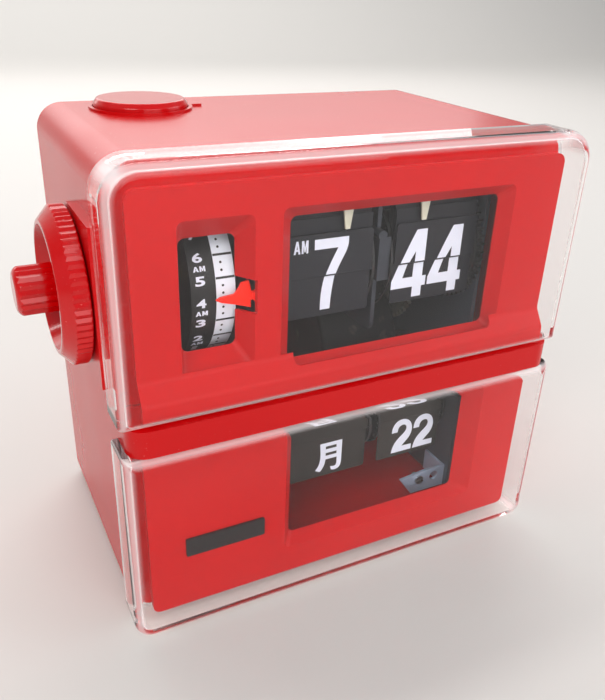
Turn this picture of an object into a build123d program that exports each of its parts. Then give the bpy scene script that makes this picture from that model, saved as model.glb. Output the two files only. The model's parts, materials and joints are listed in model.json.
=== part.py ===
from build123d import *
import os
from math import sin, cos, pi, radians, sqrt, hypot, atan2, tan

# Flip number clock with alarm dial and weekday/date window.
# Working axes: x to the right, y from the front face to the back, z up from the table.
# Every piece is shifted by SHIFT at export, so that the row's origin is the bottom centre.

# ---- driving dimensions (mm) ----
CASE_W = 146.0        # case width
CASE_TOP = 144.2      # height of the case top
CASE_BOT = 0.8        # underside of the case
CASE_FRONT = 14.0     # front edge of the case sleeve
CASE_BACK = 96.0      # rear edge of the sleeve
COVER_BACK = 98.0     # rear face of the back cover
WALL = 2.5            # case wall
CRYSTAL_W = 150.0     # crystals stand 2 mm proud at each side
CRYSTAL_TOP = 145.4
CRYSTAL_BOT = 0.4
CRYSTAL_T = 2.5       # acrylic wall
BAR_Z0, BAR_Z1 = 66.4, 75.0   # red bar between the crystals
PLATE_Y = 6.5         # front of the dial plates
PLATE_T = 1.8
PLATE_X = 68.4        # half width of the dial plates
AX_Y, AX_Z = 36.5, 104.8      # common axis of alarm drum, hour and minute wheels
FLAP_Y = 17.3         # hinge plane of the time flaps
FLAP_H = 13.1         # time flap height
CAL_Y, CAL_Z = 29.8, 45.3     # calendar wheel axis
CFLAP_Y = 19.3        # hinge plane of the calendar flaps
CFLAP_H = 15.9
HOUR_X = (-22.3, 7.9)
MIN_X = (16.2, 46.4)
WEEK_X = (-19.9, 12.9)
DATE_X = (18.2, 43.8)
DRUM_R = 24.0
DRUM_X = (-50.8, -38.1)
SCALE_X = -43.7       # left edge of the white scale band
LAY_Y, LAY_Z = 70.5, 82.25    # layshaft
MOT_Y, MOT_Z = 70.5, 57.05    # motor shaft, 25.2 mm from the layshaft
PL_L = (-32.5, -31.0)         # left movement plate
PL_R = (50.5, 52.0)           # right movement plate
BTN_X, BTN_Y = -42.8, 80.0    # alarm button centre
KNOB_X0 = -92.5       # free end of the setting knob
MODULE = 0.8
SHIFT = (-(KNOB_X0 + CRYSTAL_W / 2) / 2, -(0.0 + 98.9) / 2, 0.0)

os.makedirs("parts", exist_ok=True)


def save(shape, name):
    s = Pos(*SHIFT) * shape
    if isinstance(s, (list, ShapeList)):
        s = s[0]
    if not isinstance(s, Solid):
        sol = s.solids()
        s = sol[0] if len(sol) == 1 else Compound(children=list(sol))
    export_step(s, f"parts/{name}.step")


def bx(x0, x1, y0, y1, z0, z1):
    return Pos((x0 + x1) / 2, (y0 + y1) / 2, (z0 + z1) / 2) * Box(x1 - x0, y1 - y0, z1 - z0)


def cx(x0, x1, r, y=AX_Y, z=AX_Z):
    return Pos((x0 + x1) / 2, y, z) * (Rot(0, 90, 0) * Cylinder(r, x1 - x0))


def cy(x, z, r, y0, y1):
    return Pos(x, (y0 + y1) / 2, z) * (Rot(90, 0, 0) * Cylinder(r, y1 - y0))


def cz(x, y, r, z0, z1):
    return Pos(x, y, (z0 + z1) / 2) * Cylinder(r, z1 - z0)


def prism_y(face, y0, y1):
    # face drawn in local (x, z); solid from y0 to y1
    pl = Plane(origin=(0, y1, 0), x_dir=(1, 0, 0), z_dir=(0, -1, 0))
    return extrude(pl * face, amount=y1 - y0)


def prism_x(face, x0, x1):
    # face drawn in local (y, z); solid from x0 to x1
    pl = Plane(origin=(x0, 0, 0), x_dir=(0, 1, 0), z_dir=(1, 0, 0))
    return extrude(pl * face, amount=x1 - x0)


def prof(x0, x1, z0, z1, rt, rb):
    # rectangle with top radius rt and bottom radius rb
    f = Pos((x0 + x1) / 2, (z0 + z1) / 2) * Rectangle(x1 - x0, z1 - z0)
    if rt > 0.1:
        f = fillet(f.vertices().group_by(Axis.Y)[-1], rt)
    if rb > 0.1:
        f = fillet(f.vertices().group_by(Axis.Y)[0], rb)
    return f


def rrect(x0, x1, z0, z1, r):
    return Pos((x0 + x1) / 2, (z0 + z1) / 2) * RectangleRounded(x1 - x0, z1 - z0, r)


def frustum_y(a, b, y0, y1, ra, rb):
    # loft from rectangle a at y0 to rectangle b at y1
    p0 = Plane(origin=(0, y0, 0), x_dir=(1, 0, 0), z_dir=(0, -1, 0))
    p1 = Plane(origin=(0, y1, 0), x_dir=(1, 0, 0), z_dir=(0, -1, 0))
    return loft([p0 * rrect(*a, ra), p1 * rrect(*b, rb)])


def gear_face(teeth, m, bore, add=0.85, ded=1.1, thick=0.42, phase=0.0):
    # simple straight-flank teeth, thinner than half the pitch for running backlash
    rp = teeth * m / 2
    ro, rr = rp + add * m, rp - ded * m
    pitch = 2 * pi / teeth
    half = thick * pitch / 2
    pts = []
    for i in range(teeth):
        a = i * pitch + phase
        wr, wo = half * 1.35, half * 0.52
        pts += [(rr * cos(a - wr), rr * sin(a - wr)), (ro * cos(a - wo), ro * sin(a - wo)),
                (ro * cos(a + wo), ro * sin(a + wo)), (rr * cos(a + wr), rr * sin(a + wr))]
    f = make_face(Polyline(*pts, close=True).edges())
    return f - Circle(bore) if bore else f


def ribbed_face(r, n, depth, bore):
    pts = []
    for i in range(n * 2):
        a = i * pi / n
        q = r if i % 2 == 0 else r - depth
        pts.append((q * cos(a), q * sin(a)))
    f = make_face(Polyline(*pts, close=True).edges())
    return f - Circle(bore) if bore else f


CW = CASE_W / 2
KW = CRYSTAL_W / 2

# ---- case: sleeve, front bulkhead with two openings, and the middle bar ----
case = prism_y(prof(-CW, CW, CASE_BOT, CASE_TOP, 8.5, 5.0), CASE_FRONT, CASE_BACK)
case -= prism_y(prof(-CW + WALL, CW - WALL, CASE_BOT + WALL, CASE_TOP - WALL, 6.0, 2.8), CASE_FRONT + 2.0, CASE_BACK + 1)
case -= prism_y(rrect(-62, 62, 79.5, 134, 2), CASE_FRONT - 1, CASE_FRONT + 3)
case -= prism_y(rrect(-62, 62, 8, 63, 2), CASE_FRONT - 1, CASE_FRONT + 3)
bar = bx(-CW, CW, 0.2, CASE_FRONT + 2, BAR_Z0 + 0.1, BAR_Z1 - 0.1)
bar = fillet(bar.edges().filter_by(Axis.Z).sort_by(Axis.Y)[:2], 6.0)
bar -= bx(-CW + 6, CW - 6, 3.0, CASE_FRONT + 3, BAR_Z0 + 2.1, BAR_Z1 - 2.1)
case += bar
case -= cx(-CW - 1, -CW + WALL + 1, 6.5)                                   # dial shaft
case -= cz(BTN_X, BTN_Y, 15.1, CASE_TOP - WALL - 1, CASE_TOP + 1)          # button hole
for sx in (-1, 1):                                                          # rear screw bosses
    for z in (13.0, 132.0):
        b = bx(sx * 62 - 4.2, sx * 62 + 4.2, 80, CASE_BACK, z - 4.2, z + 4.2)
        b += bx(min(sx * 62, sx * (CW - 1)), max(sx * 62, sx * (CW - 1)), 80, CASE_BACK, z - 1.0, z + 1.0)
        case += b
        case -= cy(sx * 62, z, 1.5, 84, CASE_BACK + 1)
save(case, "case_shell")

# ---- rear cover: lip, vent slots, cord outlet, screw holes ----
cover = prism_y(prof(-CW, CW, CASE_BOT, CASE_TOP, 8.5, 5.0), CASE_BACK, COVER_BACK)
cover = fillet(cover.faces().sort_by(Axis.Y)[-1].edges(), 1.0)
for i in range(9):
    z = 96.0 + i * 4.6
    cover -= prism_y(rrect(-30, 30, z - 1.1, z + 1.1, 1.0), CASE_BACK - 1, COVER_BACK + 1)
for i in range(5):
    z = 24.0 + i * 4.6
    cover -= prism_y(rrect(-52, -14, z - 1.1, z + 1.1, 1.0), CASE_BACK - 1, COVER_BACK + 1)
for sx in (-1, 1):
    for z in (13.0, 132.0):
        cover -= cy(sx * 62, z, 1.5, CASE_BACK - 1, COVER_BACK + 1)
        cover -= cy(sx * 62, z, 3.3, COVER_BACK - 0.8, COVER_BACK + 1)
cover -= cy(40, 26, 4.0, CASE_BACK - 1, COVER_BACK + 1)
save(cover, "rear_cover")
for n, sx, z in (("cover_screw_upper_left", -1, 132.0), ("cover_screw_upper_right", 1, 132.0),
                 ("cover_screw_lower_left", -1, 13.0), ("cover_screw_lower_right", 1, 13.0)):
    s = cy(sx * 62, z, 3.0, COVER_BACK - 0.8, COVER_BACK + 0.9)
    s = fillet(s.faces().sort_by(Axis.Y)[-1].edges(), 0.6)
    s += cy(sx * 62, z, 1.4, 86, COVER_BACK - 0.5)
    s -= bx(sx * 62 - 2.2, sx * 62 + 2.2, COVER_BACK + 0.3, COVER_BACK + 2, z - 0.35, z + 0.35)
    s -= bx(sx * 62 - 0.35, sx * 62 + 0.35, COVER_BACK + 0.3, COVER_BACK + 2, z - 2.2, z + 2.2)
    save(s, n)

# ---- feet ----
for n, x, y in (("foot_front_left", -60, 24), ("foot_front_right", 60, 24),
                ("foot_rear_left", -60, 86), ("foot_rear_right", 60, 86)):
    f = cz(x, y, 6.0, 0.0, CASE_BOT)
    save(chamfer(f.faces().sort_by(Axis.Z)[0].edges(), 0.25), n)


# ---- crystals: open-backed acrylic boxes ----
def crystal(z0, z1, rt, rb, bar_low):
    o = prism_y(prof(-KW, KW, z0, z1, rt, rb), 0.0, CASE_FRONT)
    front = [e for e in o.faces().sort_by(Axis.Y)[0].edges()
             if not (abs(e.center().Z - (z0 if bar_low else z1)) < 0.3 and e.length > 60)]
    try:
        o = fillet(front, 4.0)
    except Exception:
        o = chamfer(o.faces().sort_by(Axis.Y)[0].edges(), 2.0)
    t = CRYSTAL_T
    zi0, zi1 = (z0 + 1.6, z1 - t) if bar_low else (z0 + t, z1 - 1.6)
    i = prism_y(prof(-KW + t, KW - t, zi0, zi1, max(rt - t, 0.6), max(rb - t, 0.6)), t, CASE_FRONT + 1)
    i = fillet(i.faces().sort_by(Axis.Y)[0].edges(), 0.5)
    return o - i


save(crystal(BAR_Z1, CRYSTAL_TOP, 9.5, 0.8, True), "crystal_upper")
save(crystal(CRYSTAL_BOT, BAR_Z0, 0.8, 5.5, False), "crystal_lower")

# ---- upper dial plate: funnel frames round both windows, lower lip curved forward ----
Y0, Y1 = PLATE_Y, PLATE_Y + PLATE_T
UZ0, UZ1 = BAR_Z1 + 1.9, 138.0
lip = FilletPolyline((Y0, 100), (Y0, 86.5), (2.9, 81.0), (2.9, UZ0), radius=[3.0, 3.0])
lip2 = FilletPolyline((4.5, UZ0), (4.5, 82.2), (Y1, 88.0), (Y1, 100), radius=[3.0, 3.0])
lf = make_face((lip.edges() + [Line((2.9, UZ0), (4.5, UZ0))] + lip2.edges() + [Line((Y1, 100), (Y0, 100))]))
up = prism_x(lf, -PLATE_X, PLATE_X)
up += prism_y(prof(-PLATE_X, PLATE_X, 99.5, UZ1, 3.0, 0.05), Y0, Y1)
# time window and drum window
T_OUT, T_IN, T_Y = (-27.0, 50.8, 80.6, 129.9), (-23.0, 47.6, 83.6, 126.2), 10.5
D_OUT, D_IN, D_Y = (-56.0, -34.9, 84.4, 129.2), (-54.2, -38.6, 90.8, 123.0), 12.0
t = 1.1


def grow(a, g):
    return (a[0] - g, a[1] + g, a[2] - g, a[3] + g)


shell = frustum_y(grow(T_OUT, t), grow(T_IN, t), Y0 + 0.2, T_Y + 0.01, 2.5, 2.5) \
    + frustum_y(grow(D_OUT, t), grow(D_IN, t), Y0 + 0.2, D_Y + 0.01, 2.5, 2.5)
up += shell
up -= frustum_y(T_OUT, T_IN, Y0 - 0.001, T_Y + 0.02, 2.0, 2.0)
up -= frustum_y(D_OUT, D_IN, Y0 - 0.001, D_Y + 0.02, 2.0, 2.0)
up -= prism_y(rrect(*T_IN, 2.0), 2.0, 14.0)
up -= prism_y(rrect(*D_IN, 2.0), 2.0, 14.0)
up -= bx(-41.0, -34.2, 5.0, 13.5, 101.2, 111.0)                  # notch for the pointer
# hidden rim that stands on the case front
rim = prism_y(rrect(-65, 65, 78.2, 136.0, 3.0), Y1 - 0.1, CASE_FRONT) - prism_y(rrect(-63.4, 63.4, 79.8, 134.4, 2.0), Y1 - 1, CASE_FRONT + 1)
rim -= bx(-66, 66, 0, CASE_FRONT + 1, 70, 90)
up += rim
save(up, "dial_plate_upper")

# ---- lower dial plate ----
LZ0, LZ1 = 5.2, BAR_Z0 - 1.9
C_OUT, C_IN, C_Y = (-24.0, 51.0, 15.3, 60.5), (-20.7, 44.9, 18.0, 58.0), 10.5
lo = prism_y(prof(-PLATE_X, PLATE_X, LZ0, LZ1, 0.05, 2.5), Y0, Y1)
lo += frustum_y(grow(C_OUT, t), grow(C_IN, t), Y0 + 0.2, C_Y + 0.01, 2.5, 2.5)
lo -= frustum_y(C_OUT, C_IN, Y0 - 0.001, C_Y + 0.02, 2.0, 2.0)
lo -= prism_y(rrect(*C_IN, 2.0), 2.0, 14.0)
rim = prism_y(rrect(-65, 65, 7.4, 63.4, 3.0), Y1 - 0.1, CASE_FRONT) - prism_y(rrect(-63.4, 63.4, 9.0, 61.8, 2.0), Y1 - 1, CASE_FRONT + 1)
lo += rim
save(lo, "dial_plate_lower")

# ---- badge blank and alarm pointer ----
save(prism_y(rrect(-57.3, -31.5, 24.6, 31.0, 0.5), PLATE_Y - 0.8, PLATE_Y), "badge_plate")
ptr = make_face(Polyline((-44.6, 105.2), (-43.2, 105.9), (-39.4, 106.2), (-38.2, 107.6), (-37.3, 109.3), (-35.2, 109.7),
                         (-34.6, 107.3), (-34.6, 101.8), (-39.1, 103.3), (-43.2, 104.4), close=True).edges())
p = prism_y(ptr, 10.2, 11.0)
p += bx(-36.0, -32.6, 10.2, 11.0, 104.0, 106.5)                  # tail tucked behind the plate
p += bx(-34.0, -32.6, Y1, 11.0, 104.0, 106.5)
save(p, "alarm_pointer")

# ---- alarm setting: fixed boss, wheel, tube, drum, scale band ----
boss = cx(-CW - 2.7, -CW, 22.6) + bx(-CW - 2.7, -CW, CASE_FRONT + 0.3, AX_Y, AX_Z - 22.6, AX_Z + 22.6)
boss -= cx(-CW - 4, -CW + 1, 5.05)
boss -= bx(-CW - 5, -CW + 1, 0, CASE_FRONT + 0.3, AX_Z - 30, AX_Z + 30)
save(boss, "knob_boss")
# wheel: ribbed rim, tapering to a rounded front lip, with a cupped front
WX0, WX1 = -83.7, -76.1
wheel = Pos(WX0, AX_Y, AX_Z) * (Rot(0, 90, 0) * extrude(ribbed_face(22.3, 64, 0.45, 0), amount=WX1 - WX0))
env = FilletPolyline((0, 0), (0, 18.6), (3.6, 22.6), (6.6, 22.6), (7.6, 21.6), (7.6, 0), radius=[1.2, 2.0, 0.6, 0.5])
envf = make_face(env.edges() + [Line((7.6, 0), (0, 0))])
env_s = revolve(Plane.XY * envf, axis=Axis.X)
env_s = Pos(WX0, AX_Y, AX_Z) * env_s
wheel = wheel & env_s
cup = FilletPolyline((-1, 0), (-1, 17.4), (0, 17.4), (4.6, 15.6), (4.6, 0), radius=[0.2, 0.3, 1.2])
cupf = make_face(cup.edges() + [Line((4.6, 0), (-1, 0))])
wheel -= Pos(WX0, AX_Y, AX_Z) * revolve(Plane.XY * cupf, axis=Axis.X)
wheel -= cx(WX0 - 1, WX1 + 1, 3.05)
save(wheel, "alarm_set_wheel")
tube = cx(WX1, DRUM_X[0], 5.0) - cx(WX1 - 1, DRUM_X[0] + 1, 3.05)
save(tube, "alarm_tube_shaft")
drum = cx(DRUM_X[0], DRUM_X[1], DRUM_R) - cx(DRUM_X[0] + 1.6, DRUM_X[1] + 1, DRUM_R - 1.8)
drum += cx(DRUM_X[0], DRUM_X[0] + 7, 6.0)
drum -= cx(DRUM_X[0] - 1, DRUM_X[1] + 1, 3.05)
drum -= cx(SCALE_X, DRUM_X[1] + 1, DRUM_R + 2) - cx(SCALE_X - 1, DRUM_X[1] + 2, DRUM_R - 0.5)
save(drum, "alarm_drum")
save(cx(SCALE_X, DRUM_X[1], DRUM_R) - cx(SCALE_X - 1, DRUM_X[1] + 1, DRUM_R - 0.5), "alarm_scale_band")

# ---- time setting: fluted knob, shaft, pinion ----
kn = Pos(KNOB_X0, AX_Y, AX_Z) * (Rot(0, 90, 0) * extrude(ribbed_face(6.8, 18, 0.55, 0), amount=12.3))
ke = FilletPolyline((0, 0), (0, 6.9), (12.3, 6.9), (12.3, 0), radius=[2.4, 0.4])
kn = kn & (Pos(KNOB_X0, AX_Y, AX_Z) * revolve(Plane.XY * make_face(ke.edges() + [Line((12.3, 0), (0, 0))]), axis=Axis.X))
kn -= cx(KNOB_X0 + 4, KNOB_X0 + 14, 3.0)
save(kn, "time_set_knob")
sh = cx(KNOB_X0 + 4, -25.5, 3.0) - cx(-29.5, -24, 2.05)
save(sh, "time_set_shaft")
G1 = (-29.4, -26.4)
G2 = (48.2, 49.8)
T1 = 51
RP1 = T1 * MODULE / 2
ang = atan2(LAY_Z - AX_Z, LAY_Y - AX_Y)
PITCH = 2 * pi / T1


def gear_x(teeth, x0, x1, bore, y, z, phase, m=MODULE):
    # gear turned so that local angle is measured from +y towards +z
    return prism_x(Pos(y, z) * gear_face(teeth, m, bore, phase=phase), x0, x1)


save(gear_x(T1, *G1, 3.0, AX_Y, AX_Z, ang), "time_set_gear")
# layshaft with both gears moulded on; a gap faces each mating tooth
lay = cx(PL_L[0], PL_R[1], 1.5, LAY_Y, LAY_Z) + cx(G1[0], G2[1], 2.6, LAY_Y, LAY_Z)
lay += gear_x(T1, *G1, 0, LAY_Y, LAY_Z, ang + pi + PITCH / 2)
lay += gear_x(T1, *G2, 0, LAY_Y, LAY_Z, ang + pi + PITCH / 2)
save(lay, "layshaft_gears")


# ---- display wheels ----
def hub(xa, xb, y, z, rf, rc):
    h = cx(xa - 1.3, xa - 0.4, rf, y, z) + cx(xb + 0.4, xb + 1.3, rf, y, z) + cx(xa - 1.0, xb + 1.0, rc, y, z)
    return h


def hinge_notches(h, xa, xb, y, z, r, n):
    for i in range(n):
        a = 2 * pi * i / n
        h -= cx(xa - 2, xb + 2, 0.55, y + r * cos(a), z + r * sin(a))
    return h


hh = hub(*HOUR_X, AX_Y, AX_Z, 19.4, 11.0)
hh -= cx(HOUR_X[0] + 2, HOUR_X[1] - 2, 9.0) - cx(HOUR_X[0] + 1, HOUR_X[1] - 1, 4.0)
hh = hinge_notches(hh, *HOUR_X, AX_Y, AX_Z, 18.4, 24)
hh -= cx(-40, 60, 2.05)
save(hh, "hour_wheel")
mh = hub(*MIN_X, AX_Y, AX_Z, 19.4, 11.0)
mh += gear_x(T1, G2[0], G2[1], 0, AX_Y, AX_Z, ang) + cx(MIN_X[1] + 1, G2[1], 5.0)
mh -= cx(MIN_X[0] + 2, MIN_X[1] - 2, 9.0) - cx(MIN_X[0] + 1, MIN_X[1] - 1, 4.0)
mh = hinge_notches(mh, MIN_X[0], MIN_X[1] - 0.8, AX_Y, AX_Z, 18.4, 30)
mh -= cx(-40, 60, 2.05)
save(mh, "minute_wheel")
wh = hub(*WEEK_X, CAL_Y, CAL_Z, 11.4, 7.0)
wh = hinge_notches(wh, *WEEK_X, CAL_Y, CAL_Z, 10.6, 14)
wh -= cx(-40, 60, 2.05, CAL_Y, CAL_Z)
save(wh, "weekday_wheel")
dh = hub(*DATE_X, CAL_Y, CAL_Z, 11.4, 7.0)
dh = hinge_notches(dh, *DATE_X, CAL_Y, CAL_Z, 10.6, 31)
dh -= cx(-40, 60, 2.05, CAL_Y, CAL_Z)
save(dh, "date_wheel")
save(cx(-29.0, PL_R[1], 2.0), "display_axle")
save(cx(PL_L[0], PL_R[1], 2.0, CAL_Y, CAL_Z), "calendar_axle")


# ---- flaps ----
def moving_flap(xa, xb, y, z, h):
    f = bx(xa, xb, y - 0.2, y + 0.2, z + 0.25, z + h)
    f = fillet(f.edges().filter_by(Axis.Y).sort_by(Axis.Z)[-2:], 0.9)
    f += cx(xa, xb, 0.3, y, z) + bx(xa + 0.4, xb - 0.4, y - 0.15, y + 0.15, z, z + 0.5)
    f += cx(xa - 0.28, xb + 0.28, 0.25, y, z)
    return f


def lower_flap(xa, xb, y, z, h):
    f = bx(xa, xb, y + 0.55, y + 0.9, z - h, z - 0.25)
    return fillet(f.edges().filter_by(Axis.Y).sort_by(Axis.Z)[:2], 0.9)


def stack(xa, xb, y, z, h, ay, az, rh, n, step, spine_left):
    # waiting leaves behind the front flap; each hangs on the wheel a little higher than the one before
    out = None
    for i in range(n):
        yi = y + 0.85 + i * step
        zi = az + sqrt(max(rh * rh - (ay - yi) ** 2, 0.0)) + 0.3
        top = zi + h - 0.6 * i
        lf_ = bx(xa, xb, yi, yi + 0.3, zi, top)
        out = lf_ if out is None else out + lf_
    z_lo = az + sqrt(max(rh * rh - (ay - (y + 0.85)) ** 2, 0.0)) + 0.3
    xs = (xa, xa + 0.5) if spine_left else (xb - 0.5, xb)
    z_hi = az + sqrt(max(rh * rh - (ay - (y + 0.85 + (n - 1) * step)) ** 2, 0.0)) + 0.3
    out += bx(xs[0], xs[1], y + 0.85, y + 0.85 + (n - 1) * step + 0.3, z_hi, z_lo + h - 0.5)
    return out


for nm, X, y, z, h, ay, az, rh, n, st, sl in (
        ("hour", HOUR_X, FLAP_Y, AX_Z, FLAP_H, AX_Y, AX_Z, 18.8, 5, 0.9, True),
        ("minute", MIN_X, FLAP_Y, AX_Z, FLAP_H, AX_Y, AX_Z, 18.8, 5, 0.9, False),
        ("weekday", WEEK_X, CFLAP_Y, CAL_Z, CFLAP_H, CAL_Y, CAL_Z, 10.4, 3, 0.8, True),
        ("date", DATE_X, CFLAP_Y, CAL_Z, CFLAP_H - 0.001, CAL_Y, CAL_Z, 10.4, 3, 0.8, False)):
    hs = h if nm in ("hour", "minute") else h - 4.5
    save(moving_flap(X[0], X[1], y, z, h), f"{nm}_flap_upper")
    save(lower_flap(X[0], X[1], y, z, h), f"{nm}_flap_lower")
    save(stack(X[0], X[1], y, z, hs, ay, az, rh, n, st, sl), f"{nm}_flap_stack")

# ---- movement frame ----


def side_plate(xs, holes):
    s = prism_x(rrect(18.5, 92.0, 9.0, 134.0, 3.0), *xs)
    s -= prism_x(rrect(50.0, 66.0, 100.0, 128.0, 3.0), xs[0] - 1, xs[1] + 1)
    for y, z, r in holes:
        s -= cx(xs[0] - 1, xs[1] + 1, r, y, z)
    return s


save(side_plate(PL_L, [(AX_Y, AX_Z, 3.05), (CAL_Y, CAL_Z, 2.0), (LAY_Y, LAY_Z, 1.55)]), "frame_plate_left")
pr = side_plate(PL_R, [(AX_Y, AX_Z, 2.0), (CAL_Y, CAL_Z, 2.0), (LAY_Y, LAY_Z, 1.55), (MOT_Y, MOT_Z, 1.55)])
save(pr, "frame_plate_right")
for nm, y, z in (("tie_rod_upper", 84, 124), ("tie_rod_lower", 84, 20), ("tie_rod_front", 60, 14)):
    save(cx(PL_L[1], PL_R[0], 2.0, y, z), nm)
# centre plate between the two time displays, with its round stud
cp = prism_x(rrect(20.0, 60.0, 82.0, 127.0, 3.0), 10.8, 12.2) - cx(10, 13, 2.0)
cp += cy(10.9, 115.1, 1.5, 16.4, 24.0)
cp += bx(10.8, 12.2, 20.0, 24.0, 112.0, 118.0)
cp += bx(10.8, 14.9, 18.0, 18.8, 100.0, 113.9) + bx(10.8, 12.2, 18.0, 20.6, 100.0, 113.9)
save(cp, "centre_plate")
# retaining fingers that hold the upper flaps
fb = bx(PL_L[1], PL_R[0], 16.6, 30.0, 130.6, 131.6)
for xc in (-1.4, 25.4):
    fg = make_face(Polyline((xc - 0.75, 118.5), (xc + 0.75, 118.5), (xc + 1.6, 124.5), (xc + 1.6, 131.0), (xc - 1.6, 131.0), (xc - 1.6, 124.5), close=True).edges())
    fb += prism_y(fg, 16.6, 17.2)
save(fb, "flap_retaining_fingers")
cbf = make_face(Polyline((36.0, 9.0), (PL_R[0], 9.0), (PL_R[0], 18.0), (42.0, 18.0), (30.5, 16.6), close=True).edges())
cb = prism_y(cbf, 20.5, 21.5) + bx(PL_R[0] - 0.9, PL_R[0], 20.5, 32.0, 9.5, 18.0)
cb -= cy(38.9, 14.8, 1.1, 19, 23)
cb -= cy(45.9, 14.6, 1.9, 19, 23)
save(cb, "calendar_bracket")
save(cy(38.9, 14.8, 1.7, 19.7, 20.5) + cy(38.9, 14.8, 1.0, 20.5, 24.0) - bx(36, 42, 19.4, 20.0, 14.6, 15.0), "bracket_screw")

# ---- drive motor, pinion, alarm buzzer, switch, button ----
mo = cx(12.0, 44.0, 20.0, MOT_Y, MOT_Z)
mo = fillet(mo.edges().filter_by(GeomType.CIRCLE), 1.5)
mo -= cx(30, 46, 1.55, MOT_Y, MOT_Z)
mo += bx(44.0, PL_R[0], MOT_Y - 18, MOT_Y - 14, MOT_Z - 3, MOT_Z + 3) + bx(44.0, PL_R[0], MOT_Y + 14, MOT_Y + 18, MOT_Z - 3, MOT_Z + 3)
mo += bx(40.0, 44.0, MOT_Y - 18, MOT_Y - 14, MOT_Z - 3, MOT_Z + 3) + bx(40.0, 44.0, MOT_Y + 14, MOT_Y + 18, MOT_Z - 3, MOT_Z + 3)
save(mo, "drive_motor")
T2 = 12
off = (-pi / 2 - (ang + pi + PITCH / 2)) % PITCH                  # layshaft tooth nearest the line of centres
pin = cx(34.0, PL_R[1], 1.5, MOT_Y, MOT_Z) + prism_x(
    Pos(MOT_Y, MOT_Z) * gear_face(T2, MODULE, 0, add=0.75, ded=1.15, thick=0.38, phase=pi / 2 + off * T1 / T2 + pi / T2), G2[0], G2[1])
save(pin, "motor_pinion")
bz = cx(PL_L[0] - 14.0, PL_L[0], 15.0, 74.0, 42.0)
bz = fillet(bz.faces().sort_by(Axis.X)[0].edges(), 2.0)
save(bz, "alarm_buzzer")
sw = bx(BTN_X - 6.5, BTN_X + 6.5, BTN_Y - 10, BTN_Y + 10, 121.5, 131.0) + cz(BTN_X, BTN_Y, 1.6, 130.5, 133.6)
sw += bx(BTN_X + 6.0, PL_L[0], BTN_Y - 8, BTN_Y + 8, 122.5, 124.0)
save(sw, "alarm_stop_switch")
col = cz(BTN_X, BTN_Y, 16.3, CASE_TOP, CASE_TOP + 0.7)
col += bx(BTN_X, BTN_X + 19.8, BTN_Y - 1.6, BTN_Y + 1.6, CASE_TOP, CASE_TOP + 0.7)
col -= cz(BTN_X, BTN_Y, 15.1, CASE_TOP - 1, CASE_TOP + 2)
save(col, "button_collar")
bp = FilletPolyline((0, 147.3), (13.7, 147.3), (14.8, 145.9), (14.8, 141.3), (15.7, 141.3), (15.7, 140.2), (3.2, 140.2), (3.2, 136.2), (0, 136.2),
                    radius=[0.7, 0.6, 0.1, 0.2, 0.2, 0.3, 0.5])
bt = revolve(Plane.XZ * make_face(bp.edges() + [Line((0, 136.2), (0, 147.3))]), axis=Axis.Z)
save(Pos(BTN_X, BTN_Y, 0) * bt, "alarm_stop_button")
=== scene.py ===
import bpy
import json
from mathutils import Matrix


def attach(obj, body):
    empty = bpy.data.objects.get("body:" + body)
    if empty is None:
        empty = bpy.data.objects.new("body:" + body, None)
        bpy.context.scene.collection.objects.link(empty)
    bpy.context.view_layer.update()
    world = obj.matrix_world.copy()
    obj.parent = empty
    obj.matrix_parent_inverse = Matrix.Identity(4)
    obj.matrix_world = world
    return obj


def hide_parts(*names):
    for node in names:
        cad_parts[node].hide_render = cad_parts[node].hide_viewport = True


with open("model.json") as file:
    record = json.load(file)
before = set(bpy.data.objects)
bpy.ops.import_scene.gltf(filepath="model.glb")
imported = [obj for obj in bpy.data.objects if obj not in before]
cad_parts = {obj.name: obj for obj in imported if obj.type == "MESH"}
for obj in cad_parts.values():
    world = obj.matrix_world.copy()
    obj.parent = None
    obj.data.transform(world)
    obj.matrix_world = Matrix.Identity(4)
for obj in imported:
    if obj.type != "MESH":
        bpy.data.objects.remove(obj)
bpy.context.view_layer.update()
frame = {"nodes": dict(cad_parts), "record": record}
import json
from math import cos, sin, pi, radians, sqrt, atan2

import bmesh
import bpy
from mathutils import Matrix, Vector

SX, SY = 8.75, -49.45  # working frame to row frame, mm
MM = 0.001


def P(x, y, z):
    return Vector(((x + SX) * MM, (y + SY) * MM, z * MM))


# ------------------------------------------------------------------ materials
def lin(c):
    return tuple((v / 255 / 12.92) if v / 255 <= 0.04045 else ((v / 255 + 0.055) / 1.055) ** 2.4 for v in c)


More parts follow.
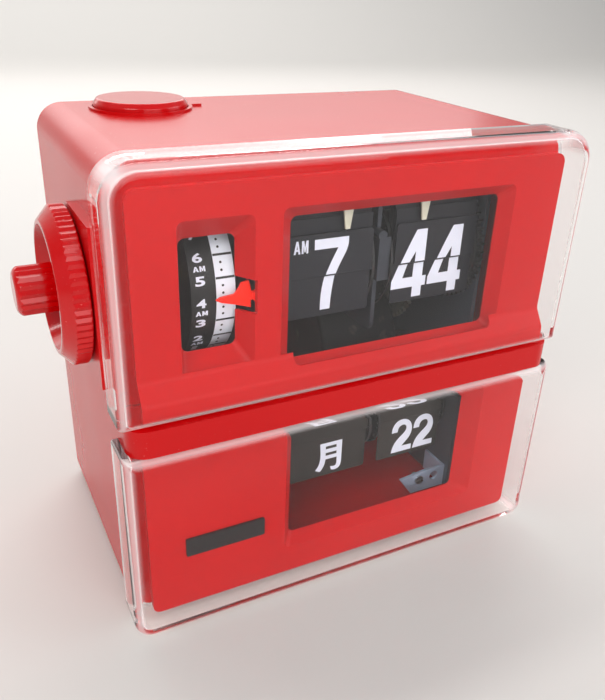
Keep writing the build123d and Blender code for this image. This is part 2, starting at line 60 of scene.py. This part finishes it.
def node_mat(name, rgb, rough=0.4, metal=0.0, ior=1.5, coat=0.0, coat_rough=0.05, trans=0.0,
             tone=0.05, tone_scale=60.0, rough_var=0.06, bump=0.02, bump_scale=900.0, stretch=(1, 1, 1),
             speck=0.0, specular=0.5, bump_dist=0.0002, sss=0.0, wear=None, wear_at=0.62):
    m = bpy.data.materials.new(name)
    m.use_nodes = True
    nt = m.node_tree
    n, l = nt.nodes, nt.links
    b = n["Principled BSDF"]
    b.inputs["Metallic"].default_value = metal
    b.inputs["IOR"].default_value = ior
    b.inputs["Coat Weight"].default_value = coat
    b.inputs["Coat Roughness"].default_value = coat_rough
    b.inputs["Transmission Weight"].default_value = trans
    b.inputs["Specular IOR Level"].default_value = specular
    if sss:
        b.inputs["Subsurface Weight"].default_value = sss
        b.inputs["Subsurface Scale"].default_value = 0.001
    base = lin(rgb)
    tc = n.new("ShaderNodeTexCoord")
    mp = n.new("ShaderNodeMapping")
    mp.inputs["Scale"].default_value = stretch
    l.new(tc.outputs["Object"], mp.inputs["Vector"])
    # colour: slow cloudy change of tone, and optional worn or dusty specks
    no = n.new("ShaderNodeTexNoise")
    no.inputs["Scale"].default_value = tone_scale
    no.inputs["Detail"].default_value = 4
    l.new(mp.outputs["Vector"], no.inputs["Vector"])
    rp = n.new("ShaderNodeValToRGB")
    rp.color_ramp.elements[0].position = 0.3
    rp.color_ramp.elements[1].position = 0.7
    rp.color_ramp.elements[0].color = tuple(v * (1 - tone) for v in base) + (1,)
    rp.color_ramp.elements[1].color = tuple(min(1, v * (1 + tone)) for v in base) + (1,)
    l.new(no.outputs["Fac"], rp.inputs["Fac"])
    col = rp.outputs["Color"]
    if speck:
        vn = n.new("ShaderNodeTexNoise")
        vn.inputs["Scale"].default_value = 1400
        vn.inputs["Detail"].default_value = 2
        l.new(tc.outputs["Object"], vn.inputs["Vector"])
        vr = n.new("ShaderNodeValToRGB")
        vr.color_ramp.elements[0].position = 0.70
        vr.color_ramp.elements[1].position = 0.76
        vr.color_ramp.elements[0].color = (0, 0, 0, 1)
        vr.color_ramp.elements[1].color = (speck, speck, speck, 1)
        l.new(vn.outputs["Fac"], vr.inputs["Fac"])
        mx = n.new("ShaderNodeMix")
        mx.data_type = "RGBA"
        l.new(vr.outputs["Color"], mx.inputs["Factor"])
        l.new(col, mx.inputs["A"])
        mx.inputs["B"].default_value = (0.75, 0.66, 0.60, 1)
        col = mx.outputs["Result"]
    if wear:
        wn = n.new("ShaderNodeTexNoise")
        wn.inputs["Scale"].default_value = 180
        wn.inputs["Detail"].default_value = 8
        l.new(tc.outputs["Object"], wn.inputs["Vector"])
        wr = n.new("ShaderNodeValToRGB")
        wr.color_ramp.elements[0].position = wear_at
        wr.color_ramp.elements[1].position = wear_at + 0.08
        wr.color_ramp.elements[0].color = (0, 0, 0, 1)
        wr.color_ramp.elements[1].color = (0.5, 0.5, 0.5, 1)
        l.new(wn.outputs["Fac"], wr.inputs["Fac"])
        mw = n.new("ShaderNodeMix")
        mw.data_type = "RGBA"
        l.new(wr.outputs["Color"], mw.inputs["Factor"])
        l.new(col, mw.inputs["A"])
        mw.inputs["B"].default_value = lin(wear) + (1,)
        col = mw.outputs["Result"]
    l.new(col, b.inputs["Base Color"])
    # roughness: fine smears
    rn = n.new("ShaderNodeTexNoise")
    rn.inputs["Scale"].default_value = tone_scale * 2.5
    rn.inputs["Detail"].default_value = 6
    l.new(mp.outputs["Vector"], rn.inputs["Vector"])
    mr = n.new("ShaderNodeMapRange")
    mr.inputs["To Min"].default_value = max(0.0, rough - rough_var)
    mr.inputs["To Max"].default_value = min(1.0, rough + rough_var)
    l.new(rn.outputs["Fac"], mr.inputs["Value"])
    l.new(mr.outputs["Result"], b.inputs["Roughness"])
    if bump:
        bn = n.new("ShaderNodeTexNoise")
        bn.inputs["Scale"].default_value = bump_scale
        bn.inputs["Detail"].default_value = 3
        l.new(mp.outputs["Vector"], bn.inputs["Vector"])
        bp = n.new("ShaderNodeBump")
        bp.inputs["Strength"].default_value = bump
        bp.inputs["Distance"].default_value = bump_dist
        l.new(bn.outputs["Fac"], bp.inputs["Height"])
        l.new(bp.outputs["Normal"], b.inputs["Normal"])
    return m


M = {
    "case_red": node_mat("case_red", (198, 0, 4), rough=0.24, specular=0.3, tone=0.04, tone_scale=14, rough_var=0.05,
                         bump=0.05, bump_scale=160, bump_dist=0.0002, speck=0.10),
    "dial_red": node_mat("dial_red", (188, 0, 3), rough=0.36, specular=0.14, tone=0.05, tone_scale=20, rough_var=0.06,
                         bump=0.10, bump_scale=1500, bump_dist=0.0001),
    "knob_red": node_mat("knob_red", (198, 0, 4), rough=0.15, coat=0.15, specular=0.4, tone=0.05, tone_scale=30, rough_var=0.05,
                         bump=0.05, bump_scale=220, speck=0.12),
    "badge_black": node_mat("badge_black", (14, 13, 14), rough=0.25, tone=0.1, bump=0.04, bump_scale=600),
    "pointer_orange": node_mat("pointer_orange", (250, 34, 2), rough=0.34, specular=0.2, tone=0.04, tone_scale=90, bump=0.04, bump_scale=700),
    "drum_black": node_mat("drum_black", (22, 22, 24), rough=0.42, specular=0.35, tone=0.10, tone_scale=80, bump=0.10, bump_scale=1200),
    "scale_white": node_mat("scale_white", (220, 228, 238), rough=0.5, tone=0.03, tone_scale=100, bump=0.05, bump_scale=1400),
    "rubber_black": node_mat("rubber_black", (24, 23, 23), rough=0.75, tone=0.12, bump=0.25, bump_scale=1800),
    "screw_steel": node_mat("screw_steel", (176, 176, 172), rough=0.30, metal=1, tone=0.10, tone_scale=200, rough_var=0.1,
                            bump=0.06, bump_scale=1500),
    "axle_steel": node_mat("axle_steel", (190, 190, 188), rough=0.24, metal=1, tone=0.06, stretch=(0.1, 1, 1), bump=0.05, bump_scale=2500),
    "frame_zinc": node_mat("frame_zinc", (90, 98, 110), rough=0.45, metal=0.7, tone=0.12, tone_scale=45, rough_var=0.1,
                           bump=0.08, bump_scale=900, stretch=(1, 1, 0.25)),
    "finger_cream": node_mat("finger_cream", (214, 213, 192), rough=0.45, tone=0.04, tone_scale=120, bump=0.05, bump_scale=900),
    "tube_brass": node_mat("tube_brass", (190, 150, 84), rough=0.30, metal=1, tone=0.08, stretch=(0.1, 1, 1), bump=0.05, bump_scale=2500),
    "gear_nylon": node_mat("gear_nylon", (120, 116, 106), rough=0.42, tone=0.04, tone_scale=70, bump=0.06, bump_scale=1100, sss=0.1),
    "wheel_grey": node_mat("wheel_grey", (26, 27, 29), rough=0.5, tone=0.08, tone_scale=60, bump=0.08, bump_scale=1200),
    "time_flap_black": node_mat("time_flap_black", (20, 22, 30), rough=0.46, specular=0.35, tone=0.10, tone_scale=55, rough_var=0.08,
                                bump=0.10, bump_scale=1600, bump_dist=0.0001),
    "calendar_flap_black": node_mat("calendar_flap_black", (38, 35, 32), rough=0.48, specular=0.35, tone=0.09, tone_scale=55, rough_var=0.08,
                                    bump=0.10, bump_scale=1600, bump_dist=0.0001),
    "motor_steel": node_mat("motor_steel", (58, 58, 60), rough=0.5, metal=0.6, tone=0.1, tone_scale=40, rough_var=0.1,
                            bump=0.05, bump_scale=1200, wear=(110, 104, 92)),
    "buzzer_black": node_mat("buzzer_black", (30, 30, 30), rough=0.5, tone=0.1, bump=0.1, bump_scale=900),
}


def crystal_material():
    """Clear moulded acrylic with faint handling smears, and a painted highlight along its rounded edges."""
    m = bpy.data.materials.new("crystal_clear")
    m.use_nodes = True
    nt = m.node_tree
    n, l = nt.nodes, nt.links
    b = n["Principled BSDF"]
    b.inputs["Base Color"].default_value = (1, 0.985, 0.985, 1)
    b.inputs["IOR"].default_value = 1.33
    b.inputs["Transmission Weight"].default_value = 1.0
    tc = n.new("ShaderNodeTexCoord")
    rn = n.new("ShaderNodeTexNoise")
    rn.inputs["Scale"].default_value = 35
    rn.inputs["Detail"].default_value = 7
    l.new(tc.outputs["Object"], rn.inputs["Vector"])
    mr = n.new("ShaderNodeMapRange")
    mr.inputs["From Min"].default_value = 0.45
    mr.inputs["From Max"].default_value = 0.75
    mr.inputs["To Min"].default_value = 0.0
    mr.inputs["To Max"].default_value = 0.015
    l.new(rn.outputs["Fac"], mr.inputs["Value"])
    l.new(mr.outputs["Result"], b.inputs["Roughness"])
    out = n["Material Output"]
    lp = n.new("ShaderNodeLightPath")
    tr = n.new("ShaderNodeBsdfTransparent")
    tr.inputs["Color"].default_value = (0.97, 0.96, 0.96, 1)
    mix = n.new("ShaderNodeMixShader")
    # moulded edges: where the surface turns away from the flat faces, a pale diffuse colour is mixed in as a painted
    # highlight of the light the acrylic edges catch
    ge = n.new("ShaderNodeNewGeometry")
    ab = n.new("ShaderNodeVectorMath")
    ab.operation = "ABSOLUTE"
    l.new(ge.outputs["Normal"], ab.inputs[0])
    sp = n.new("ShaderNodeSeparateXYZ")
    l.new(ab.outputs["Vector"], sp.inputs["Vector"])
    m1 = n.new("ShaderNodeMath")
    m1.operation = "MAXIMUM"
    l.new(sp.outputs["X"], m1.inputs[0])
    l.new(sp.outputs["Y"], m1.inputs[1])
    m2 = n.new("ShaderNodeMath")
    m2.operation = "MAXIMUM"
    l.new(m1.outputs["Value"], m2.inputs[0])
    l.new(sp.outputs["Z"], m2.inputs[1])
    edge_highlight_mask = n.new("ShaderNodeMapRange")
    edge_highlight_mask.inputs["From Min"].default_value = 0.985
    edge_highlight_mask.inputs["From Max"].default_value = 0.80
    edge_highlight_mask.inputs["To Min"].default_value = 0.0
    edge_highlight_mask.inputs["To Max"].default_value = 0.46
    l.new(m2.outputs["Value"], edge_highlight_mask.inputs["Value"])
    # painted highlight: pale pink-white diffuse, mixed in up to 46 % at the edges
    edge_highlight_paint = n.new("ShaderNodeBsdfDiffuse")
    edge_highlight_paint.inputs["Color"].default_value = (0.97, 0.89, 0.89, 1)
    edge = n.new("ShaderNodeMixShader")
    l.new(edge_highlight_mask.outputs["Result"], edge.inputs["Fac"])
    l.new(b.outputs["BSDF"], edge.inputs[1])
    l.new(edge_highlight_paint.outputs["BSDF"], edge.inputs[2])
    l.new(lp.outputs["Is Shadow Ray"], mix.inputs["Fac"])
    l.new(edge.outputs["Shader"], mix.inputs[1])
    l.new(tr.outputs["BSDF"], mix.inputs[2])
    l.new(mix.outputs["Shader"], out.inputs["Surface"])
    return m


M["crystal_clear"] = crystal_material()
M["print_white"] = node_mat("print_white", (222, 228, 242), rough=0.48, tone=0.03, tone_scale=160, bump=0.05, bump_scale=1800)
M["print_black"] = node_mat("print_black", (18, 18, 20), rough=0.5, tone=0.05, tone_scale=160, bump=0.05, bump_scale=1800)


def paint(o, m):
    if len(o.material_slots) == 0:
        o.data.materials.append(m)
    else:
        for s in o.material_slots:
            s.material = m


slots = {}
for sp in frame["record"].get("subparts", []):
    if sp.get("node") in frame["nodes"] and sp.get("material_slot") in M:
        slots[sp["node"]] = sp["material_slot"]
for name, o in frame["nodes"].items():
    key = slots.get(name, "frame_zinc")
    paint(o, M[key])
    if name not in slots:
        print("NO SLOT", name)
# painted light and painted shade: the same zinc made lighter and darker, as the light falls on them in the windows
M["zinc_light"] = node_mat("zinc_light", (170, 186, 210), rough=0.42, metal=0.35, tone=0.10, tone_scale=45, rough_var=0.1,
                           bump=0.08, bump_scale=900, stretch=(1, 1, 0.25))
M["zinc_dark"] = node_mat("zinc_dark", (58, 62, 70), rough=0.5, metal=0.5, tone=0.10, tone_scale=45, rough_var=0.1,
                          bump=0.08, bump_scale=900, stretch=(1, 1, 0.25))
# the calendar bracket gets the painted light, the centre plate the painted shade
paint(frame["nodes"]["calendar_bracket"], M["zinc_light"])
paint(frame["nodes"]["centre_plate"], M["zinc_dark"])

# each crystal is shown 0.12 mm clear of the case face it seats on, so that its rim lets light through
for name in ("crystal_upper", "crystal_lower"):
    src = frame["nodes"][name]
    me = src.data.copy()
    back = max(v.co.y for v in me.vertices)
    for v in me.vertices:
        if v.co.y > back - 0.0001:
            v.co.y = back - 0.00012
    o = bpy.data.objects.new(name + "_clear", me)
    bpy.context.scene.collection.objects.link(o)
    paint(o, M["crystal_clear"])
    me.set_sharp_from_angle(angle=radians(28))
    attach(o, "root")
    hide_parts(name)

# smooth shading by angle on the CAD pieces, vertices untouched
for name, o in frame["nodes"].items():
    if o.type == "MESH":
        try:
            o.data.set_sharp_from_angle(angle=radians(28))
            o.data.shade_smooth()
            o.data.set_sharp_from_angle(angle=radians(28))
        except Exception as e:
            print("shade", name, e)


# ------------------------------------------------------------------ lettering
def smooth(pts, k=5, closed=False):
    """Catmull-Rom line through pts, k steps a span."""
    out = []
    n = len(pts)
    for i in range(n - 1):
        p0 = pts[max(i - 1, 0)]
        p1, p2 = pts[i], pts[i + 1]
        p3 = pts[min(i + 2, n - 1)]
        for j in range(k):
            t = j / k
            q = []
            for d in (0, 1):
                a = 2 * p1[d]
                b = p2[d] - p0[d]
                c = 2 * p0[d] - 5 * p1[d] + 4 * p2[d] - p3[d]
                e = -p0[d] + 3 * p1[d] - 3 * p2[d] + p3[d]
                q.append(0.5 * (a + b * t + c * t * t + e * t ** 3))
            out.append(tuple(q))
    out.append(tuple(pts[-1]))
    return out


def outline_mesh(name, loops, thick):
    """Flat prism from closed loops in mm (holes by even-odd), in local x, z; y from -thick/2 to thick/2."""
    cu = bpy.data.curves.new(name + "_c", "CURVE")
    cu.dimensions = "2D"
    cu.fill_mode = "BOTH"
    cu.extrude = thick / 2
    for lp in loops:
        clean = []
        for p in lp:
            if not clean or (abs(p[0] - clean[-1][0]) + abs(p[1] - clean[-1][1])) > 1e-4:
                clean.append(p)
        s = cu.splines.new("POLY")
        s.points.add(len(clean) - 1)
        for i, p in enumerate(clean):
            s.points[i].co = (p[0], p[1], 0, 1)
        s.use_cyclic_u = True
    ob = bpy.data.objects.new(name + "_c", cu)
    bpy.context.scene.collection.objects.link(ob)
    dg = bpy.context.evaluated_depsgraph_get()
    me = bpy.data.meshes.new_from_object(ob.evaluated_get(dg))
    bpy.data.objects.remove(ob)
    bpy.data.curves.remove(cu)
    bm = bmesh.new()
    bm.from_mesh(me)
    bpy.data.meshes.remove(me)
    bmesh.ops.remove_doubles(bm, verts=bm.verts, dist=1e-4)
    return bm


def cut(bm, axis, at, keep_above):
    """Cuts the prism along u (axis 0) or v (axis 1) and closes it."""
    co = [0, 0, 0]
    no = [0, 0, 0]
    co[axis] = at
    no[axis] = 1 if keep_above else -1
    g = bm.verts[:] + bm.edges[:] + bm.faces[:]
    r = bmesh.ops.bisect_plane(bm, geom=g, plane_co=co, plane_no=no, clear_inner=True, dist=1e-5)
    edges = [e for e in r["geom_cut"] if isinstance(e, bmesh.types.BMEdge)]
    if edges:
        bmesh.ops.holes_fill(bm, edges=edges, sides=0)


def slice_v(bm, step):
    vs = [v.co.y for v in bm.verts]
    lo, hi = min(vs), max(vs)
    k = 1
    while lo + k * step < hi - 1e-4:
        g = bm.verts[:] + bm.edges[:] + bm.faces[:]
        bmesh.ops.bisect_plane(bm, geom=g, plane_co=(0, lo + k * step, 0), plane_no=(0, 1, 0), dist=1e-6)
        k += 1


def finish_piece(bm, name, place, material, body, slot=None):
    """place(u, v, w) gives the row-frame point in metres; w is out of the printed face."""
    for v in bm.verts:
        v.co = place(v.co.x, v.co.y, v.co.z)
    bmesh.ops.remove_doubles(bm, verts=bm.verts, dist=1e-8)
    bmesh.ops.triangulate(bm, faces=[f for f in bm.faces if len(f.verts) > 4])
    bmesh.ops.recalc_face_normals(bm, faces=bm.faces)
    me = bpy.data.meshes.new(name)
    bm.to_mesh(me)
    bm.free()
    o = bpy.data.objects.new(name, me)
    bpy.context.scene.collection.objects.link(o)
    me.materials.append(M[material])
    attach(o, body)
    return o


def merge(list_of_bm):
    out = bmesh.new()
    for b in list_of_bm:
        me = bpy.data.meshes.new("tmp")
        b.to_mesh(me)
        b.free()
        out.from_mesh(me)
        bpy.data.meshes.remove(me)
    return out


# numeral outlines, mm, in the flap plane: u along +X, v along +Z
SEVEN = [[(-11.4, 116.2), (-0.14, 116.2), (-0.14, 113.9)]
         + smooth([(-0.14, 113.9), (-0.83, 111.6), (-2.48, 108.4), (-3.97, 105.0), (-4.65, 101.4), (-5.12, 97.3), (-5.3, 93.65)])
         + [(-8.62, 93.65)]
         + smooth([(-8.62, 93.65), (-8.6, 97.4), (-8.15, 101.6), (-7.15, 105.4), (-5.42, 109.4), (-3.5, 113.15)])
         + [(-11.35, 113.15)]]


def four(dx):
    return [[(24.05 + dx, 115.45), (27.9 + dx, 115.45), (27.9 + dx, 99.6), (29.35 + dx, 99.6), (29.35 + dx, 96.3),
             (27.95 + dx, 96.3), (27.95 + dx, 92.8), (24.5 + dx, 92.8), (24.5 + dx, 96.3), (16.4 + dx, 96.3),
             (16.4 + dx, 98.9), (18.95 + dx, 104.9), (21.6 + dx, 110.6)],
            [(24.35 + dx, 108.5), (24.2 + dx, 99.65), (20.4 + dx, 99.65), (21.95 + dx, 104.5)]]


def letter_a(x, z, w, h):
    k, j = w / 2.0, h / 3.8
    o = [(0, 0), (0.72, 3.8), (1.28, 3.8), (2.0, 0), (1.42, 0), (1.28, 0.85), (0.72, 0.85), (0.58, 0)]
    i = [(0.82, 1.4), (1.18, 1.4), (1.0, 2.75)]
    return [[(x + a * k, z + b * j) for a, b in o], [(x + a * k, z + b * j) for a, b in i]]


def letter_m(x, z, w, h):
    k, j = w / 2.0, h / 3.8
    o = [(0, 0), (0, 3.8), (0.66, 3.8), (1.0, 1.7), (1.34, 3.8), (2.0, 3.8), (2.0, 0), (1.45, 0), (1.45, 2.3),
         (1.15, 0.4), (0.85, 0.4), (0.55, 2.3), (0.55, 0)]
    return [[(x + a * k, z + b * j) for a, b in o]]


def letter_p(x, z, w, h):
    k, j = w / 2.0, h / 3.8
    o = [(0, 0), (0, 3.8)] + smooth([(1.1, 3.8), (1.75, 3.5), (1.95, 2.7), (1.75, 1.9), (1.1, 1.55)], 3) + [(0.6, 1.55), (0.6, 0)]
    i = [(0.6, 3.2)] + smooth([(1.0, 3.2), (1.3, 3.0), (1.36, 2.7), (1.3, 2.35), (1.0, 2.15)], 3) + [(0.6, 2.15)]
    return [[(x + a * k, z + b * j) for a, b in o], [(x + a * k, z + b * j) for a, b in i]]


MOON = [[(-4.4, 42.2), (4.1, 42.2), (4.1, 33.2)]
        + smooth([(4.1, 33.2), (3.75, 31.6), (2.9, 30.7), (1.6, 30.4), (0.3, 30.7)])
        + [(-0.1, 32.2)]
        + smooth([(-0.1, 32.2), (1.0, 31.95), (1.9, 32.1), (2.3, 32.9)])
        + [(2.3, 35.55), (-2.1, 35.55)]
        + smooth([(-2.1, 35.3), (-2.5, 33.4), (-3.2, 32.0), (-4.1, 30.85)])
        + [(-5.95, 31.8)]
        + smooth([(-5.95, 31.8), (-4.95, 33.1), (-4.4, 34.6), (-4.15, 36.2), (-4.1, 38.0)]),
        [(-2.2, 40.8), (2.0, 40.8), (2.0, 39.65), (-2.2, 39.65)],
        [(-2.15, 38.15), (2.1, 38.15), (2.1, 37.0), (-2.15, 37.0)]]


def two(dx):
    o = (smooth([(24.5, 39.0), (24.65, 40.9), (25.5, 42.7), (27.0, 43.8), (28.9, 44.05), (30.7, 43.5), (32.1, 42.2),
                 (32.85, 40.3), (32.9, 38.2), (32.1, 36.0), (30.6, 34.3), (29.1, 32.75)])
         + [(33.35, 32.6), (33.35, 30.45), (24.85, 30.45)]
         + smooth([(24.85, 30.45), (25.35, 32.8), (26.3, 34.8), (27.7, 36.4), (29.4, 37.9), (30.3, 39.0), (30.55, 40.3),
                   (30.0, 41.4), (28.85, 41.75), (27.7, 41.3), (27.05, 40.3), (26.95, 39.0)]))
    return [[(x + dx, z) for x, z in o]]


T = 0.10          # print thickness: half stands proud of the face
SPLIT, CSPLIT = 104.8, 45.3
UP_Y, LOW_Y = 17.3 - 0.2, 17.3 + 0.55
CUP_Y, CLOW_Y = 19.3 - 0.2, 19.3 + 0.55


def on_face(y, du=0.0, dv=0.0):
    return lambda u, v, w: P(u + du, y - w, v + dv)


def on_back(y, z_axis):
    """Print on the back of an upright flap that reads right once it has fallen about its hinge line."""
    return lambda u, v, w: P(u, y + w, 2 * z_axis - v)


def glyph(name, loops_list, y, body, above=None, below=None, place=None, material="print_white"):
    bms = []
    for loops in loops_list:
        bm = outline_mesh(name, loops, T)
        if above is not None:
            cut(bm, 1, above, True)
        if below is not None:
            cut(bm, 1, below, False)
        bms.append(bm)
    return finish_piece(merge(bms), name, place or on_face(y), material, body)


glyph("hour_numeral_upper", [SEVEN], UP_Y, "hour_flap", above=SPLIT + 0.25, place=on_face(UP_Y, -0.4))
glyph("hour_numeral_lower", [SEVEN], LOW_Y, "root", below=SPLIT - 0.25, place=on_face(LOW_Y, -0.15))
glyph("minute_numeral_upper", [four(0), four(13.7)], UP_Y, "minute_flap", above=SPLIT + 0.25, place=on_face(UP_Y, -0.4))
glyph("minute_numeral_lower", [four(0), four(13.7)], LOW_Y, "root", below=SPLIT - 0.25, place=on_face(LOW_Y, -0.15))
glyph("am_mark", [letter_a(-18.1, 112.5, 2.15, 3.85), letter_m(-15.55, 112.5, 2.1, 3.85)], UP_Y, "hour_flap", place=on_face(UP_Y, -0.4))
glyph("weekday_sign", [MOON], CLOW_Y, "root", place=on_face(CLOW_Y, -0.5, 0.4))
glyph("date_numeral", [two(0), two(9.2)], CLOW_Y, "root", place=on_face(CLOW_Y, -0.5, 0.4))

# drum print, wrapped on the alarm drum
DR, DY, DZ = 24.0, 36.5, 104.8


def on_drum(u0, a_deg):
    a0 = radians(a_deg)

    def place(u, v, w):
        a = a0 - v / DR
        r = DR + w
        return P(u0 + u, DY - r * cos(a), DZ - r * sin(a))
    return place


def text_bm(s, width, height, bold=0.0):
    cu = bpy.data.curves.new("txt", "FONT")
    cu.body = s
    cu.size = 1
    cu.extrude = 0.01
    cu.offset = bold
    cu.resolution_u = 3
    ob = bpy.data.objects.new("txt", cu)
    bpy.context.scene.collection.objects.link(ob)
    dg = bpy.context.evaluated_depsgraph_get()
    me = bpy.data.meshes.new_from_object(ob.evaluated_get(dg))
    bpy.data.objects.remove(ob)
    bpy.data.curves.remove(cu)
    bm = bmesh.new()
    bm.from_mesh(me)
    bpy.data.meshes.remove(me)
    bmesh.ops.remove_doubles(bm, verts=bm.verts, dist=1e-5)
    xs = [v.co.x for v in bm.verts]
    ys = [v.co.y for v in bm.verts]
    x0, x1, y0, y1 = min(xs), max(xs), min(ys), max(ys)
    for v in bm.verts:
        v.co.x = ((v.co.x - x0) / (x1 - x0) - 0.5) * width
        v.co.y = ((v.co.y - y0) / (y1 - y0) - 0.5) * height
        v.co.z = (T / 2) if v.co.z > 0 else (-T / 2)
    bmesh.ops.remove_doubles(bm, verts=bm.verts, dist=1e-4)
    slice_v(bm, 0.8)
    return bm


def placed(bm, place):
    for v in bm.verts:
        v.co = place(v.co.x, v.co.y, v.co.z)
    return bm


def strip_bm(width, height):
    bm = outline_mesh("s", [[(-width / 2, -height / 2), (width / 2, -height / 2), (width / 2, height / 2), (-width / 2, height / 2)]], T)
    return bm


def dot_bm(r, n=12):
    return outline_mesh("d", [[(r * cos(2 * pi * i / n), r * sin(2 * pi * i / n)) for i in range(n)]], T)


def finish_ready(bms, name, material, body):
    bm = merge(bms)
    return finish_piece(bm, name, lambda x, y, z: Vector((x, y, z)), material, body)


# the next figures: lower half on the back of each falling leaf, upper half on the first waiting leaf
def figure(parts, name, body, place, above=None, below=None):
    bms = []
    for ch, x, z, wd, ht in parts:
        bm = text_bm(ch, wd, ht, 0.035)
        for v in bm.verts:
            v.co.x += x
            v.co.y += z
        if above is not None:
            cut(bm, 1, above, True)
        if below is not None:
            cut(bm, 1, below, False)
        bms.append(bm)
    return finish_piece(merge(bms), name, place, "print_white", body)


EIGHT = [("8", -6.2, 104.9, 11.0, 22.5)]
FORTYFIVE = [("4", 23.0, 104.2, 12.6, 22.5), ("5", 36.7, 104.2, 12.0, 22.5)]
figure(EIGHT, "next_hour_lower", "hour_flap", on_back(17.5, SPLIT), below=SPLIT - 0.35)
figure(FORTYFIVE, "next_minute_lower", "minute_flap", on_back(17.5, SPLIT), below=SPLIT - 0.35)
figure(EIGHT, "next_hour_upper", "root", on_face(18.15), above=109.4)
figure(FORTYFIVE, "next_minute_upper", "root", on_face(18.15), above=109.4)
figure([("2", 28.9, 37.2, 8.4, 13.2), ("3", 38.2, 37.2, 8.4, 13.2)], "next_date", "date_flap", on_back(19.5, CSPLIT))
FIRE = [[(-1.6, 42.2), (0.1, 42.2)]
        + smooth([(0.1, 42.2), (0.15, 39.0), (0.9, 36.2), (2.4, 33.8), (4.4, 31.8)])
        + [(3.2, 30.5)]
        + smooth([(3.2, 30.5), (1.2, 32.4), (-0.2, 34.6), (-0.75, 36.4)])
        + smooth([(-0.95, 36.2), (-1.7, 34.0), (-3.0, 32.0), (-4.7, 30.5)])
        + [(-5.9, 31.8)]
        + smooth([(-5.9, 31.8), (-3.9, 33.6), (-2.4, 36.4), (-1.7, 39.2), (-1.6, 42.2)])]
FIRE_L = [[(-4.9, 39.6), (-3.5, 39.3), (-3.9, 37.2), (-4.9, 35.5), (-6.1, 36.3), (-5.3, 37.8)]]
FIRE_R = [[(3.4, 40.2), (4.7, 39.4), (3.4, 37.2), (2.0, 35.7), (1.2, 36.9), (2.4, 38.4)]]
glyph("next_weekday", [FIRE, FIRE_L, FIRE_R], 0, "weekday_flap", place=on_back(19.5, CSPLIT))

white, black = [], []
for H in range(24):
    a = -43.6 - 15 * (H - 7)
    label = str(12 if H % 12 == 0 else H % 12)
    w = 2.8 if len(label) == 1 else 4.4
    if label == "1":
        w = 1.5
    white.append(placed(text_bm(label, w, 2.6, 0.03), on_drum(-48.0, a + 0.6)))
    black.append(placed(strip_bm(5.4, 0.62), on_drum(-40.9, a)))
    for k in (1, 2):
        black.append(placed(dot_bm(0.36), on_drum(-41.7, a + 5 * k)))
    if H % 2 == 1:
        first = letter_a if H < 12 else letter_p
        for lt in (first(-1.7, -0.72, 1.6, 1.45), letter_m(0.15, -0.72, 1.6, 1.45)):
            bm = outline_mesh("m", lt, T)
            slice_v(bm, 0.8)
            white.append(placed(bm, on_drum(-47.9, a - 7.2)))
finish_ready(white, "alarm_drum_numerals", "print_white", "alarm_dial")
finish_ready(black, "alarm_drum_hour_marks", "print_black", "alarm_dial")

# ------------------------------------------------------------------ floor, light, camera
def cyclorama():
    """Pale floor that curves up into a wall well behind the object."""
    prof = [(-10.0, 0.0), (1.4, 0.0)]
    prof += [(1.4 + 0.8 * sin(a), 0.8 - 0.8 * cos(a)) for a in (pi / 2 * k / 12 for k in range(1, 13))]
    prof += [(2.2, 4.0)]
    vs, fs = [], []
    for y, z in prof:
        vs += [(-10.0, y, z), (10.0, y, z)]
    for k in range(len(prof) - 1):
        fs.append((2 * k, 2 * k + 1, 2 * k + 3, 2 * k + 2))
    me = bpy.data.meshes.new("floor")
    me.from_pydata(vs, [], fs)
    me.shade_smooth()
    o = bpy.data.objects.new("floor", me)
    bpy.context.scene.collection.objects.link(o)
    return o


floor = cyclorama()
fm = bpy.data.materials.new("floor_pale")
fm.use_nodes = True
fb = fm.node_tree.nodes["Principled BSDF"]
fb.inputs["Base Color"].default_value = (0.66, 0.64, 0.61, 1)
fb.inputs["Roughness"].default_value = 0.55
floor.data.materials.append(fm)

w = bpy.data.worlds.new("studio")
bpy.context.scene.world = w
w.use_nodes = True
w.node_tree.nodes["Background"].inputs["Color"].default_value = (0.93, 0.95, 1.0, 1)
w.node_tree.nodes["Background"].inputs["Strength"].default_value = 0.42


def area(name, loc, aim, size, power, color=(1, 1, 1)):
    la = bpy.data.lights.new(name, "AREA")
    la.shape = "RECTANGLE"
    la.size, la.size_y = size
    la.energy = power
    la.color = color
    o = bpy.data.objects.new(name, la)
    o.location = loc
    d = Vector(aim) - Vector(loc)
    o.rotation_euler = d.to_track_quat("-Z", "Y").to_euler()
    bpy.context.scene.collection.objects.link(o)
    return o


area("key", (-0.70, -0.75, 0.80), (0, 0, 0.07), (0.6, 0.6), 6.5, (1.0, 0.985, 0.96))
area("front", (0.25, -1.25, 0.42), (0, 0, 0.08), (1.0, 0.6), 4.5, (1.0, 0.99, 0.98))
area("back_wall", (0.2, 1.1, 0.75), (0, 0, 0.1), (1.6, 0.8), 6, (1.0, 0.95, 0.95))
area("fill", (1.0, -0.3, 0.55), (0, 0, 0.08), (0.7, 0.7), 4, (0.92, 0.96, 1.0))

area("wall_wash", (0, 0.9, 2.2), (0, 2.2, 0.8), (2.5, 0.6), 45, (1.0, 0.99, 0.98))

cam = bpy.data.cameras.new("camera")
cam.lens = 38.35
cam.sensor_width = 36
cam.clip_start = 0.01
co = bpy.data.objects.new("camera", cam)
bpy.context.scene.collection.objects.link(co)
co.matrix_world = Matrix((
    (0.8934, 0.1740, -0.4142, -0.10014),
    (-0.4479, 0.4167, -0.7910, -0.21348),
    (0.0349, 0.8922, 0.4502, 0.18411),
    (0, 0, 0, 1)))
bpy.context.scene.camera = co

bpy.context.scene.view_settings.view_transform = "Standard"
bpy.context.scene.cycles.max_bounces = 20
bpy.context.scene.cycles.transmission_bounces = 20
bpy.context.scene.cycles.transparent_max_bounces = 20

bpy.context.view_layer.update()
